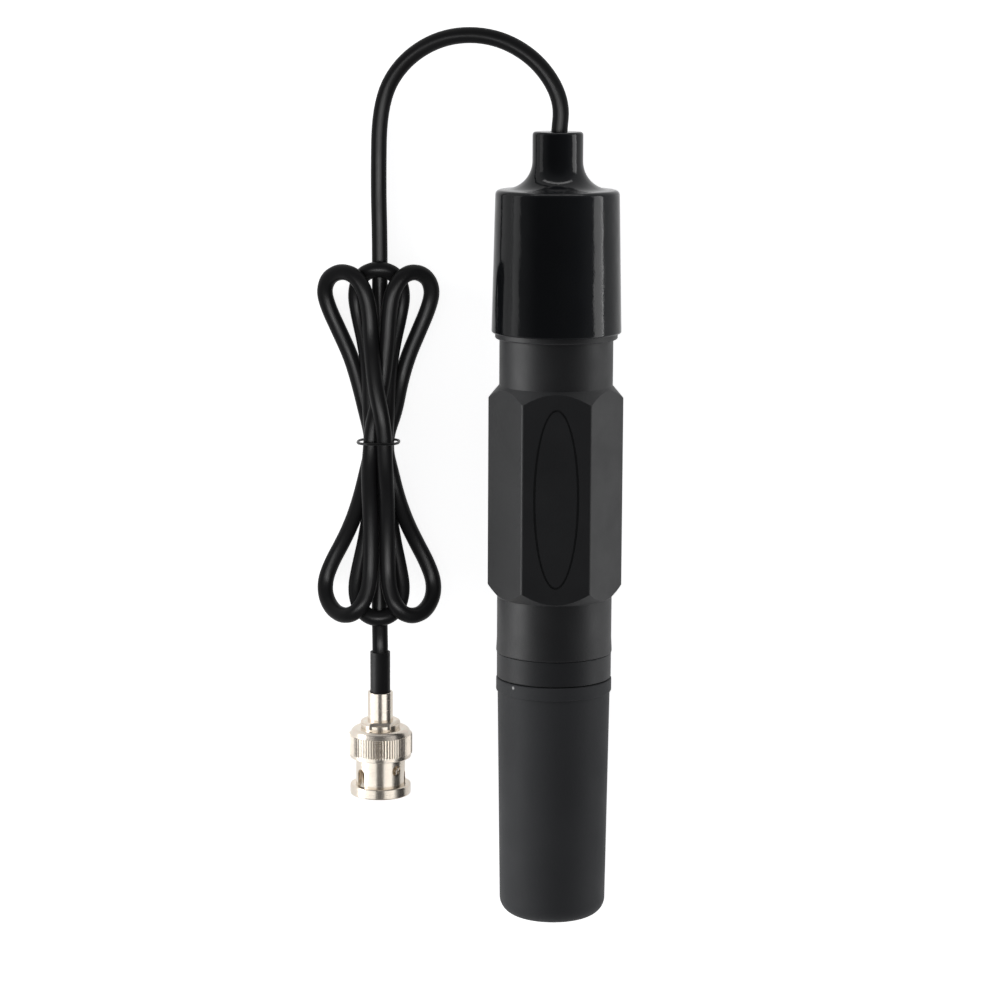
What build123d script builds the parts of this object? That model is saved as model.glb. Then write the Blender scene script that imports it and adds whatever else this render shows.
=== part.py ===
from build123d import *
import os
from math import atan, cos, radians, sin, tan

os.makedirs("parts", exist_ok=True)

# A redox electrode lying on its side, with its cable, tied hank and bayonet plug.
# All sizes are millimetres. +Y points from the cap to the cable exit, +Z is up, the
# table is Z = 0 and the origin is under the middle of the electrode.
# Stations are distances along the electrode's axis, from the top of the boot's neck.

# Clearances
seat_gap = 0.05
running_gap = 0.05
ring_gap = 0.03
washer_gap = 0.03

# Cable
cable_radius = 1.8
exit_run = 6.1
sleeve_run = 2.8
core_radius = 0.9
lead_radius = 0.3

# Rubber boot over the cable end of the handle
neck_radius = 5.6
neck_length = 6.4
neck_edge_round = 0.7
flare_radius = 6.2
shoulder_drop = 0.2
shoulder_round = 1.1
skirt_top_radius = 13.7
boot_rim_radius = 14.4
boot_rim_round = 0.4
boot_length = 44.2
boot_roof = 1.8
clamp_pocket_radius = 6.0

# Handle with its hexagonal grip
spigot_radius = 12.2
flange_radius = 13.6
flange_width = 1.3
flange_edge_round = 0.4
upper_round_radius = 12.63
upper_round_length = 10.4
grip_across_flats = 26.2
grip_corner_round = 0.8
grip_length = 47.6
upper_chamfer_length = 3.0
lower_chamfer_length = 2.7
lower_round_radius = 12.88
lower_round_length = 12.7
flare_rise = 0.16
flare_length = 3.2
flare_edge_round = 0.3
handle_bore_radius = 9.0
nose_radius = 10.3
nose_length = 17.8
nose_edge_round = 0.8
tube_socket_length = 10.0

# Oval outline sunk into the upper flat of the grip
oval_width = 10.1
oval_length = 40.0
oval_line_width = 0.5
oval_depth = 0.3

# Collar between handle and cap
collar_radius = 12.86
collar_width = 5.7
collar_edge_round = 0.3

# Storage cap
cap_gap = 0.15
cap_length = 55.1
cap_bead_radius = 13.0
cap_bead_width = 3.0
cap_bead_round = 0.4
cap_bead_foot_round = 0.2
cap_mouth_radius = 12.66
cap_end_radius = 11.92
cap_end_round = 3.8
cap_bore_radius = 10.45
cap_bore_depth = 14.0
cap_bore_end_radius = 10.1
cap_floor_thickness = 1.9
cap_floor_round = 1.0
sponge_thickness = 4.3
sponge_clearance = 0.25
sponge_round = 1.3

# Cap sealing ring and its groove in the nose
cap_ring_section = 1.4
cap_ring_place = 5.1
cap_groove_width = 1.7
cap_groove_depth = 1.3

# Sensor: body tube, glass stem, metal tip, porous junction and window guard
tube_radius = 6.0
tube_wall = 1.2
tube_depth = 38.0
tube_reach = 21.0
tube_ring_section = 1.4
tube_ring_place = 3.4
tube_groove_width = 1.7
stopper_thickness = 6.0
stem_radius = 2.5
stem_wall = 0.6
stem_edge_round = 0.3
stem_overrun = 8.0
stem_reach = 3.0
tip_radius = 1.7
tip_length = 3.0
tip_depth = 1.0
tip_round = 1.35
junction_length = 4.0
wire_radius = 0.5
wire_offset = 3.65
wire_end_gap = 5.0
guard_radius = 8.2
guard_length = 29.0
guard_foot_length = 14.0
guard_window_length = 12.0
guard_window_width = 6.0
guard_window_round = 2.1
guard_window_count = 4

# Cable end, strain clamp and joints inside the handle
tail_start_station = 8.0
tail_grip = 7.0
clamp_length = 4.0
clamp_head_room = 3.4
clamp_wall = 1.3
potting_length = 12.0
potting_cover = 2.0
core_joint_place = 26.0
pigtail_joint_place = 14.0
joint_sleeve_length = 6.0
joint_sleeve_wall = 0.3

# Bayonet plug, along its own axis from the cable side of the crimp sleeve
plug_x = -39.35
ferrule_radius = 2.9
ferrule_wall = 0.5
ferrule_edge_round = 0.17
ferrule_length = 6.5
plug_hex_across_flats = 7.85
plug_hex_width = 1.8
plug_hex_chamfer = 0.35
crimp_stem_radius = 2.3
crimp_stem_length = 5.3
barrel_radius = 4.3
barrel_length = 4.3
contact_radius = 4.0
contact_wall = 0.45
contact_foot_radius = 4.2
contact_foot_gap = 0.05
contact_length = 8.9
contact_slot_width = 0.4
contact_slot_reach = 1.8
contact_slot_length = 6.0
contact_slot_count = 4
contact_seat_length = 1.9
insulator_wall = 0.5
insulator_nose_radius = 2.35
insulator_nose_length = 2.6
insulator_recess = 0.5
pin_radius = 0.675
pin_root_radius = 0.85
pin_root_gap = 0.05
pin_tip_recess = 0.9
pin_tip_cone = 0.8
pin_tip_flat_radius = 0.25
pin_barrel_radius = 1.0
pin_barrel_length = 4.0
plug_core_radius = 1.1
jacket_insert = 1.0
snap_ring_play = 0.3
snap_ring_thickness = 0.5
snap_ring_radius = 4.8
snap_ring_depth = 0.25
snap_ring_opening = 1.2
snap_ring_reach = 7.6
gasket_thickness = 1.1
gasket_radius = 4.8
nut_rear_wall = 2.2
nut_rear_radius = 6.35
nut_rear_round = 1.1
nut_bevel_length = 1.45
knurl_radius = 7.25
knurl_width = 4.4
knurl_count = 72
knurl_depth = 0.26
nut_lip_radius = 7.0
nut_lip_width = 0.95
nut_lip_round = 0.18
nut_sleeve_radius = 5.62
nut_sleeve_length = 6.25
nut_bore_radius = 4.95
nut_flange_radius = 6.93
nut_flange_width = 2.45
nut_flange_round = 0.35
nut_travel = 0.6
slot_width = 2.4
slot_end_place = 2.5
slot_rise = 1.0
slot_turn = 87.0
slot_entry_angle = 50.0
slot_depth_radius = 5.8
washer_thickness = 0.2
washer_rise = 0.3
washer_radius = 4.85

# Shrink sleeve between cable and plug
shrink_wall = 0.42
shrink_length = 9.3
shrink_insert = 0.9
tail_drop = 5.3

# Tied hank: seven strands through the tie, three loops at each end
hank_x = -39.6
tie_y = 18.9
tie_wire = 0.6
tie_width = 0.9
strand_pitch = 3.65
hank_height = 11.4
hank_edge_round = 1.6
upper_reach = 40.2
upper_half_width = 13.5
upper_waist_place = 9.5
lower_reach = 42.7
lower_half_width = 14.0
loop_head_length = 10.7
lower_waist_place = 9.0
loop_end_round = 8.0
loop_side_round = 8.0
waist_round = 14.0
run_overlap = 0.8
tail_start_depth = 3.0
tail_start_height = 6.0
bend_share = 0.45

# Derived stations
flare_end = neck_length + flare_radius
shoulder_end = flare_end + shoulder_drop
clamp_pocket_station = shoulder_end + boot_roof
spigot_top_station = clamp_pocket_station + clamp_length + clamp_head_room
flange_end = boot_length + flange_width
grip_start = flange_end + upper_round_length
grip_end = grip_start + grip_length
lower_round_end = grip_end + lower_round_length
nose_end = lower_round_end + nose_length
collar_end = lower_round_end + collar_width
cap_start = collar_end + cap_gap
cap_end = cap_start + cap_length
cap_floor_station = cap_end - cap_floor_thickness
cap_bead_end = cap_start + cap_bead_width
cap_bore_end = cap_start + cap_bore_depth
cap_ring_station = collar_end + cap_ring_place
tube_ring_station = nose_end - tube_ring_place
tube_top_station = nose_end - tube_depth
tube_end_station = nose_end + tube_reach
stem_top_station = tube_top_station - stem_overrun
stem_end_station = tube_end_station + stem_reach
wire_end_station = tube_end_station - junction_length - wire_end_gap
potting_start = spigot_top_station + potting_cover
tail_end_station = potting_start + tail_grip
core_joint_station = tube_top_station - core_joint_place
pigtail_joint_station = tube_top_station - pigtail_joint_place

# Resting pose: the electrode lies on the boot's rim and on the cap's bead
boot_touch = boot_length - boot_rim_round
cap_touch = cap_bead_end - cap_bead_round
tilt = atan((boot_rim_radius - cap_bead_radius) / (cap_touch - boot_touch))
neck_tip = Vector(
    0,
    cap_end * cos(tilt) / 2,
    boot_rim_radius * cos(tilt) + boot_touch * sin(tilt),
)
toward_cap = Vector(0, -cos(tilt), -sin(tilt))
electrode_axis = Axis(neck_tip, toward_cap)
section = Plane(origin=neck_tip, x_dir=(1, 0, 0), z_dir=(0, sin(tilt), -cos(tilt)))
neck_plane = Plane(origin=neck_tip, x_dir=(1, 0, 0), z_dir=toward_cap)

# Ends of the hank, and the points where its loops turn in towards the tie
hank_top_y = tie_y + upper_reach
hank_end_y = tie_y - lower_reach
upper_bend_place = upper_reach - loop_head_length
lower_bend_place = lower_reach - loop_head_length

# Resting pose of the plug: its knurl and its front flange touch the table
ferrule_end = ferrule_length
plug_hex_end = ferrule_end + plug_hex_width
nut_start = plug_hex_end + seat_gap
knurl_start = nut_start + nut_bevel_length
knurl_end = knurl_start + knurl_width
nut_lip_end = knurl_end + nut_lip_width
nut_flange_start = nut_lip_end + nut_sleeve_length
nut_end = nut_flange_start + nut_flange_width
nut_chamber_start = nut_start + nut_rear_wall
snap_ring_station = (
    nut_chamber_start + washer_rise + washer_thickness + nut_travel + snap_ring_play
)
barrel_end = plug_hex_end + barrel_length
contact_seat_end = barrel_end + contact_seat_length
contact_end = barrel_end + contact_length
contact_foot_end = barrel_end + gasket_thickness + contact_foot_gap
insulator_start = ferrule_end + insulator_recess
crimp_stem_start = ferrule_end - crimp_stem_length
pin_tip_station = contact_end - pin_tip_recess
insulator_nose_end = contact_seat_end + insulator_nose_length
pin_root_end = insulator_nose_end + pin_root_gap
slot_end_station = nut_lip_end + slot_end_place
slot_entry_station = slot_end_station + slot_rise
plug_touch = nut_end - nut_flange_round
plug_tilt = atan((knurl_radius - nut_flange_radius) / (plug_touch - knurl_end))
plug_start = Vector(
    plug_x,
    hank_end_y - tail_drop - shrink_length,
    knurl_radius * cos(plug_tilt) + knurl_end * sin(plug_tilt),
)
toward_mouth = Vector(0, -cos(plug_tilt), -sin(plug_tilt))
plug_axis = Axis(plug_start, toward_mouth)
plug_section = Plane(
    origin=plug_start, x_dir=(1, 0, 0), z_dir=(0, sin(plug_tilt), -cos(plug_tilt))
)
plug_plane = Plane(origin=plug_start, x_dir=(1, 0, 0), z_dir=toward_mouth)


def across(station):
    """Plane square to the electrode's axis, facing the cap."""
    return neck_plane.offset(station)


def plug_across(station):
    """Plane square to the plug's axis, facing its mouth."""
    return plug_plane.offset(station)


def corner(radius, station):
    """Vertex of the profile nearest to a radius and station."""
    return vertices().sort_by_distance((radius, station))[0]


def outline(*points):
    """Closed face through profile points given as radius and station."""
    return Polygon(*points, align=None)


# Cable boot
flare_end_radius = neck_radius + flare_radius
boot_cavity_radius = spigot_radius + seat_gap
cable_hole_radius = cable_radius + seat_gap

with BuildPart() as cable_boot:
    with BuildSketch(section):
        with BuildLine():
            Line((cable_hole_radius, 0), (neck_radius, 0))
            Line((neck_radius, 0), (neck_radius, neck_length))
            JernArc((neck_radius, neck_length), (0, 1), flare_radius, -90)
            Polyline(
                (flare_end_radius, flare_end),
                (skirt_top_radius, shoulder_end),
                (boot_rim_radius, boot_length),
                (boot_cavity_radius, boot_length),
                (boot_cavity_radius, spigot_top_station),
                (clamp_pocket_radius, spigot_top_station),
                (clamp_pocket_radius, clamp_pocket_station),
                (cable_hole_radius, clamp_pocket_station),
                (cable_hole_radius, 0),
            )
        make_face()
        fillet(corner(neck_radius, 0), neck_edge_round)
        fillet(corner(skirt_top_radius, shoulder_end), shoulder_round)
        fillet(corner(boot_rim_radius, boot_length), boot_rim_round)
    revolve(axis=electrode_axis)

# Handle: hexagonal grip between two round ends, with a spigot in the boot and a nose
grip_corner_radius = grip_across_flats / 2 / cos(radians(30))
tube_bore_radius = tube_radius + seat_gap
flare_start = lower_round_end - flare_length
flare_end_round = lower_round_radius + flare_rise
cap_groove_start = cap_ring_station - cap_groove_width / 2
tube_groove_start = tube_ring_station - tube_groove_width / 2
tube_groove_radius = tube_radius + tube_ring_section + ring_gap
tube_socket_start = nose_end - nose_length - tube_socket_length
oval_station = (grip_start + grip_end) / 2
oval_origin = neck_tip + toward_cap * oval_station
upward = Vector(0, -sin(tilt), cos(tilt))
upper_flat = Plane(
    origin=oval_origin + upward * (grip_across_flats / 2), x_dir=(1, 0, 0), z_dir=upward
)

with BuildPart() as handle_body:
    with BuildSketch(across(grip_start)):
        RegularPolygon(radius=grip_corner_radius, side_count=6)
        fillet(vertices(), grip_corner_round)
    extrude(amount=grip_length)
    with BuildSketch(section):
        outline(
            (0, grip_start),
            (upper_round_radius, grip_start),
            (grip_corner_radius, grip_start + upper_chamfer_length),
            (grip_corner_radius, grip_end - lower_chamfer_length),
            (lower_round_radius, grip_end),
            (0, grip_end),
        )
    revolve(axis=electrode_axis, mode=Mode.INTERSECT)
    with BuildSketch(section):
        outline(
            (0, spigot_top_station),
            (spigot_radius, spigot_top_station),
            (spigot_radius, boot_length),
            (flange_radius, boot_length),
            (flange_radius, flange_end),
            (upper_round_radius, flange_end),
            (upper_round_radius, grip_start),
            (upper_round_radius, grip_end),
            (lower_round_radius, grip_end),
            (lower_round_radius, flare_start),
            (flare_end_round, lower_round_end),
            (nose_radius, lower_round_end),
            (nose_radius, nose_end),
            (0, nose_end),
        )
        fillet(corner(flange_radius, flange_end), flange_edge_round)
        fillet(corner(flare_end_round, lower_round_end), flare_edge_round)
        fillet(corner(nose_radius, nose_end), nose_edge_round)
    revolve(axis=electrode_axis)
    with BuildSketch(section):
        outline(
            (0, spigot_top_station),
            (handle_bore_radius, spigot_top_station),
            (handle_bore_radius, tube_socket_start),
            (tube_bore_radius, tube_socket_start),
            (tube_bore_radius, nose_end),
            (0, nose_end),
        )
    revolve(axis=electrode_axis, mode=Mode.SUBTRACT)
    with BuildSketch(across(cap_groove_start)):
        Circle(nose_radius)
        Circle(nose_radius - cap_groove_depth, mode=Mode.SUBTRACT)
    extrude(amount=cap_groove_width, mode=Mode.SUBTRACT)
    with BuildSketch(across(tube_groove_start)):
        Circle(tube_groove_radius)
    extrude(amount=tube_groove_width, mode=Mode.SUBTRACT)
    with BuildSketch(upper_flat):
        Ellipse(oval_width / 2, oval_length / 2)
        Ellipse(
            oval_width / 2 - oval_line_width,
            oval_length / 2 - oval_line_width,
            mode=Mode.SUBTRACT,
        )
    extrude(amount=-oval_depth, mode=Mode.SUBTRACT)

# Collar ring, seated on the nose against the end of the handle
with BuildPart() as collar_ring:
    with BuildSketch(section):
        outline(
            (nose_radius + seat_gap, lower_round_end),
            (collar_radius, lower_round_end),
            (collar_radius, collar_end),
            (nose_radius + seat_gap, collar_end),
        )
        fillet(corner(collar_radius, lower_round_end), collar_edge_round)
        fillet(corner(collar_radius, collar_end), collar_edge_round)
    revolve(axis=electrode_axis)

# Storage cap: a tapered cup with a bead round its mouth
with BuildPart() as storage_cap:
    with BuildSketch(section):
        outline(
            (cap_bore_radius, cap_start),
            (cap_bead_radius, cap_start),
            (cap_bead_radius, cap_bead_end),
            (cap_mouth_radius, cap_bead_end),
            (cap_end_radius, cap_end),
            (0, cap_end),
            (0, cap_floor_station),
            (cap_bore_end_radius, cap_floor_station),
            (cap_bore_radius, cap_bore_end),
        )
        fillet(corner(cap_bead_radius, cap_start), cap_bead_round)
        fillet(corner(cap_bead_radius, cap_bead_end), cap_bead_foot_round)
        fillet(corner(cap_end_radius, cap_end), cap_end_round)
        fillet(corner(cap_bore_end_radius, cap_floor_station), cap_floor_round)
    revolve(axis=electrode_axis)

# Soaked sponge on the floor of the cap
sponge_radius = cap_bore_end_radius - sponge_clearance
sponge_top = cap_floor_station - sponge_thickness

with BuildPart() as storage_sponge:
    with BuildSketch(section):
        outline(
            (0, sponge_top),
            (sponge_radius, sponge_top),
            (sponge_radius, cap_floor_station),
            (0, cap_floor_station),
        )
        fillet(corner(sponge_radius, cap_floor_station), sponge_round)
    revolve(axis=electrode_axis)

# Sealing rings: one between nose and cap, one between nose and body tube
cap_ring_path_radius = nose_radius - cap_groove_depth + ring_gap + cap_ring_section / 2
tube_ring_path_radius = tube_radius + ring_gap / 2 + tube_ring_section / 2

with BuildPart() as cap_seal_ring:
    with BuildSketch(section):
        with Locations((cap_ring_path_radius, cap_ring_station)):
            Circle(cap_ring_section / 2)
    revolve(axis=electrode_axis)

with BuildPart() as tube_seal_ring:
    with BuildSketch(section):
        with Locations((tube_ring_path_radius, tube_ring_station)):
            Circle(tube_ring_section / 2)
    revolve(axis=electrode_axis)

# Body tube of the sensor
tube_bore = tube_radius - tube_wall

with BuildPart() as body_tube:
    with BuildSketch(across(tube_top_station)):
        Circle(tube_radius)
        Circle(tube_bore, mode=Mode.SUBTRACT)
    extrude(amount=tube_end_station - tube_top_station)

# Stopper in the top of the body tube, bored for the stem and the reference wire
stopper_radius = tube_bore - seat_gap

with BuildPart() as tube_stopper:
    with BuildSketch(across(tube_top_station)):
        Circle(stopper_radius)
        Circle(stem_radius + seat_gap, mode=Mode.SUBTRACT)
        with Locations((wire_offset, 0)):
            Circle(wire_radius + seat_gap, mode=Mode.SUBTRACT)
    extrude(amount=stopper_thickness)

# Porous ring that closes the bottom of the body tube
with BuildPart() as junction_ring:
    with BuildSketch(across(tube_end_station - junction_length)):
        Circle(stopper_radius)
        Circle(stem_radius + seat_gap, mode=Mode.SUBTRACT)
    extrude(amount=junction_length)

# Glass stem with the metal tip sealed into its end
stem_bore_radius = stem_radius - stem_wall
tip_seat_station = stem_end_station - tip_depth

with BuildPart() as glass_stem:
    with BuildSketch(section):
        outline(
            (stem_bore_radius, stem_top_station),
            (stem_radius, stem_top_station),
            (stem_radius, stem_end_station),
            (tip_radius, stem_end_station),
            (tip_radius, tip_seat_station),
            (stem_bore_radius - stem_wall, tip_seat_station),
            (stem_bore_radius, tip_seat_station - stem_wall),
        )
        fillet(corner(stem_radius, stem_end_station), stem_edge_round)
    revolve(axis=electrode_axis)

with BuildPart() as platinum_tip:
    with BuildSketch(section):
        outline(
            (0, tip_seat_station),
            (tip_radius, tip_seat_station),
            (tip_radius, tip_seat_station + tip_length),
            (0, tip_seat_station + tip_length),
        )
        fillet(corner(tip_radius, tip_seat_station + tip_length), tip_round)
    revolve(axis=electrode_axis)

# Guard round the sensor: a sleeve on the body tube, with windows and an open end
window_middle = nose_end + guard_foot_length + guard_window_length / 2

with BuildPart() as sensor_guard:
    with BuildSketch(across(nose_end)):
        Circle(guard_radius)
        Circle(tube_bore_radius, mode=Mode.SUBTRACT)
    extrude(amount=guard_length)
    for window in range(guard_window_count):
        turn = 360 * window / guard_window_count
        window_plane = Plane(
            origin=neck_tip + toward_cap * window_middle,
            x_dir=toward_cap,
            z_dir=upward.rotate(Axis((0, 0, 0), toward_cap), turn),
        )
        with BuildSketch(window_plane):
            RectangleRounded(guard_window_length, guard_window_width, guard_window_round)
        extrude(amount=2 * guard_radius, mode=Mode.SUBTRACT)

# Cable end inside the boot, its crimped clamp and the potting that holds it
tail_plane = across(tail_start_station)
clamp_radius = cable_radius + clamp_wall
core_start = tail_end_station

with BuildPart() as cable_tail:
    with BuildSketch(tail_plane):
        Circle(cable_radius)
    extrude(amount=tail_end_station - tail_start_station)

with BuildPart() as cable_clamp:
    with BuildSketch(across(clamp_pocket_station)):
        RegularPolygon(radius=clamp_radius, side_count=8)
        Circle(cable_hole_radius, mode=Mode.SUBTRACT)
    extrude(amount=clamp_length)

with BuildPart() as potting_plug:
    with BuildSketch(across(potting_start)):
        Circle(handle_bore_radius - seat_gap)
    extrude(amount=potting_length)
    with BuildSketch(across(potting_start)):
        Circle(cable_hole_radius)
    extrude(amount=tail_end_station - potting_start, mode=Mode.SUBTRACT)
    with BuildSketch(across(tail_end_station)):
        Circle(core_radius + seat_gap)
        with Locations((wire_offset, 0)):
            Circle(wire_radius + seat_gap)
    extrude(amount=potting_start + potting_length - tail_end_station, mode=Mode.SUBTRACT)

# Leads: the insulated core to the tip, the braid's pigtail to the reference wire
with BuildPart() as core_lead:
    with BuildSketch(across(core_start)):
        Circle(core_radius)
    extrude(amount=core_joint_station - core_start)

with BuildPart() as core_joint_sleeve:
    with BuildSketch(across(core_joint_station - joint_sleeve_length / 2)):
        Circle(core_radius + seat_gap + joint_sleeve_wall)
        Circle(core_radius + seat_gap, mode=Mode.SUBTRACT)
    extrude(amount=joint_sleeve_length)

with BuildPart() as measuring_lead:
    with BuildSketch(across(core_joint_station)):
        Circle(core_radius)
    extrude(amount=joint_sleeve_length)
    with BuildSketch(across(core_joint_station + joint_sleeve_length)):
        Circle(lead_radius)
    extrude(amount=tip_seat_station - core_joint_station - joint_sleeve_length)

with BuildPart() as braid_pigtail:
    with BuildSketch(across(core_start)):
        with Locations((wire_offset, 0)):
            Circle(wire_radius)
    extrude(amount=pigtail_joint_station - core_start)

with BuildPart() as pigtail_joint_sleeve:
    with BuildSketch(across(pigtail_joint_station - joint_sleeve_length / 2)):
        with Locations((wire_offset, 0)):
            Circle(wire_radius + seat_gap + joint_sleeve_wall)
            Circle(wire_radius + seat_gap, mode=Mode.SUBTRACT)
    extrude(amount=joint_sleeve_length)

with BuildPart() as reference_wire:
    with BuildSketch(across(pigtail_joint_station)):
        with Locations((wire_offset, 0)):
            Circle(wire_radius)
    extrude(amount=wire_end_station - pigtail_joint_station)

# Plug: crimp sleeve
ferrule_bore_radius = ferrule_radius - ferrule_wall

with BuildPart() as plug_ferrule:
    with BuildSketch(plug_section):
        outline(
            (ferrule_bore_radius, 0),
            (ferrule_radius, 0),
            (ferrule_radius, ferrule_end),
            (ferrule_bore_radius, ferrule_end),
        )
        fillet(corner(ferrule_radius, 0), ferrule_edge_round)
    revolve(axis=plug_axis)

# Plug body: crimp stem, hexagonal flange, barrel that carries the nut, contact seat
contact_bore_radius = contact_radius - contact_wall
contact_seat_radius = contact_bore_radius - seat_gap
insulator_bore = contact_seat_radius - insulator_wall
plug_hex_corner = plug_hex_across_flats / 2 / cos(radians(30))

with BuildPart() as plug_body:
    with BuildSketch(plug_across(ferrule_end)):
        RegularPolygon(radius=plug_hex_corner, side_count=6)
    extrude(amount=plug_hex_width)
    with BuildSketch(plug_section):
        outline(
            (0, ferrule_end),
            (plug_hex_corner - plug_hex_chamfer, ferrule_end),
            (plug_hex_corner, ferrule_end + plug_hex_chamfer),
            (plug_hex_corner, plug_hex_end - plug_hex_chamfer),
            (plug_hex_corner - plug_hex_chamfer, plug_hex_end),
            (0, plug_hex_end),
        )
    revolve(axis=plug_axis, mode=Mode.INTERSECT)
    with BuildSketch(plug_section):
        outline(
            (0, crimp_stem_start),
            (crimp_stem_radius, crimp_stem_start),
            (crimp_stem_radius, ferrule_end),
            (barrel_radius, ferrule_end + plug_hex_width / 2),
            (barrel_radius, snap_ring_station),
            (barrel_radius - snap_ring_depth, snap_ring_station),
            (barrel_radius - snap_ring_depth, snap_ring_station + snap_ring_thickness),
            (barrel_radius, snap_ring_station + snap_ring_thickness),
            (barrel_radius, barrel_end),
            (contact_seat_radius, barrel_end),
            (contact_seat_radius, contact_seat_end),
            (0, contact_seat_end),
        )
    revolve(axis=plug_axis)
    with BuildSketch(plug_section):
        outline(
            (0, crimp_stem_start),
            (plug_core_radius + seat_gap, crimp_stem_start),
            (plug_core_radius + seat_gap, insulator_start),
            (insulator_bore, insulator_start),
            (insulator_bore, contact_seat_end),
            (0, contact_seat_end),
        )
    revolve(axis=plug_axis, mode=Mode.SUBTRACT)

# Sprung outer contact: a slotted sleeve pressed on the body
with BuildPart() as plug_outer_contact:
    with BuildSketch(plug_section):
        outline(
            (contact_bore_radius, barrel_end),
            (contact_foot_radius, barrel_end),
            (contact_foot_radius, contact_foot_end),
            (contact_radius, contact_foot_end),
            (contact_radius, contact_end),
            (contact_bore_radius, contact_end),
        )
    revolve(axis=plug_axis)
    with BuildSketch(plug_across(contact_end)):
        with PolarLocations(contact_radius, contact_slot_count, start_angle=45):
            Rectangle(contact_slot_reach, contact_slot_width)
    extrude(amount=-contact_slot_length, mode=Mode.SUBTRACT)

# Insulator and centre pin
insulator_radius = insulator_bore - seat_gap
pin_barrel_end = insulator_start + pin_barrel_length

with BuildPart() as plug_insulator:
    with BuildSketch(plug_section):
        outline(
            (pin_barrel_radius + seat_gap, insulator_start),
            (insulator_radius, insulator_start),
            (insulator_radius, contact_seat_end),
            (insulator_nose_radius, contact_seat_end),
            (insulator_nose_radius, insulator_nose_end),
            (pin_root_radius + seat_gap, insulator_nose_end),
            (pin_root_radius + seat_gap, pin_barrel_end),
            (pin_barrel_radius + seat_gap, pin_barrel_end),
        )
    revolve(axis=plug_axis)

with BuildPart() as plug_center_pin:
    with BuildSketch(plug_section):
        outline(
            (0, insulator_start),
            (pin_barrel_radius, insulator_start),
            (pin_barrel_radius, pin_barrel_end),
            (pin_root_radius, pin_barrel_end),
            (pin_root_radius, pin_root_end),
            (pin_radius, pin_root_end),
            (pin_radius, pin_tip_station - pin_tip_cone),
            (pin_tip_flat_radius, pin_tip_station),
            (0, pin_tip_station),
        )
    revolve(axis=plug_axis)

with BuildPart() as plug_cable_core:
    with BuildSketch(plug_across(jacket_insert)):
        Circle(plug_core_radius)
    extrude(amount=insulator_start - jacket_insert)

# Snap ring in the barrel's groove, and the soft gasket in front of it
with BuildPart() as plug_snap_ring:
    with BuildSketch(plug_across(snap_ring_station)):
        Circle(snap_ring_radius)
        Circle(barrel_radius - snap_ring_depth, mode=Mode.SUBTRACT)
        with Locations((0, snap_ring_radius)):
            Rectangle(snap_ring_opening, snap_ring_reach, mode=Mode.SUBTRACT)
    extrude(amount=snap_ring_thickness)

with BuildPart() as plug_gasket:
    with BuildSketch(plug_across(barrel_end)):
        Circle(gasket_radius)
        Circle(contact_foot_radius + seat_gap, mode=Mode.SUBTRACT)
    extrude(amount=gasket_thickness)

# Coupling nut: turned blank, knurl, bayonet slots with a helical ramp to a round end
nut_hub_radius = barrel_radius + running_gap
slot_pitch = slot_rise * 360 / slot_turn
slot_mid_radius = (nut_bore_radius + nut_sleeve_radius) / 2
plug_upward = Vector(0, -sin(plug_tilt), cos(plug_tilt))


def around_plug(angle):
    """Direction square to the plug's axis, turned from straight up."""
    return plug_upward.rotate(Axis((0, 0, 0), toward_mouth), angle)


with BuildPart() as plug_coupling_nut:
    with BuildSketch(plug_across(knurl_start)):
        Circle(knurl_radius)
        with PolarLocations(knurl_radius, knurl_count):
            RegularPolygon(radius=knurl_depth, side_count=4, mode=Mode.SUBTRACT)
    extrude(amount=knurl_width)
    with BuildSketch(plug_section):
        outline(
            (0, nut_start),
            (nut_rear_radius, nut_start),
            (nut_lip_radius, knurl_start),
            (nut_lip_radius, nut_lip_end),
            (nut_sleeve_radius, nut_lip_end),
            (nut_sleeve_radius, nut_flange_start),
            (nut_flange_radius, nut_flange_start),
            (nut_flange_radius, nut_end),
            (0, nut_end),
        )
        fillet(corner(nut_rear_radius, nut_start), nut_rear_round)
        fillet(corner(nut_lip_radius, nut_lip_end), nut_lip_round)
        fillet(corner(nut_flange_radius, nut_flange_start), nut_flange_round)
        fillet(corner(nut_flange_radius, nut_end), nut_flange_round)
    revolve(axis=plug_axis)
    with BuildSketch(plug_section):
        outline(
            (0, nut_start),
            (nut_hub_radius, nut_start),
            (nut_hub_radius, nut_chamber_start),
            (nut_bore_radius, nut_chamber_start),
            (nut_bore_radius, nut_end),
            (0, nut_end),
        )
    revolve(axis=plug_axis, mode=Mode.SUBTRACT)
    for side in range(2):
        entry_turn = slot_entry_angle + 180 * side
        entry_way = around_plug(entry_turn)
        entry_origin = plug_start + toward_mouth * slot_entry_station
        end_origin = plug_start + toward_mouth * slot_end_station
        entry_plane = Plane(origin=entry_origin, x_dir=toward_mouth, z_dir=entry_way)
        with BuildSketch(entry_plane):
            Circle(slot_width / 2)
            Rectangle(
                nut_end - slot_entry_station, slot_width, align=(Align.MIN, Align.CENTER)
            )
        extrude(amount=slot_depth_radius, mode=Mode.SUBTRACT)
        end_plane = Plane(
            origin=end_origin,
            x_dir=toward_mouth,
            z_dir=around_plug(entry_turn + slot_turn),
        )
        with BuildSketch(end_plane):
            Circle(slot_width / 2)
        extrude(amount=slot_depth_radius, mode=Mode.SUBTRACT)
        with BuildLine(Plane(origin=entry_origin, x_dir=entry_way, z_dir=-toward_mouth)) as ramp:
            Helix(
                pitch=slot_pitch, height=slot_rise, radius=slot_mid_radius, lefthand=True
            )
        with BuildSketch(Plane(origin=ramp.line @ 0, x_dir=entry_way, z_dir=ramp.line % 0)):
            Rectangle(4 * (slot_mid_radius - nut_bore_radius), slot_width)
        sweep(path=ramp.line, is_frenet=True, mode=Mode.SUBTRACT)

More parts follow.
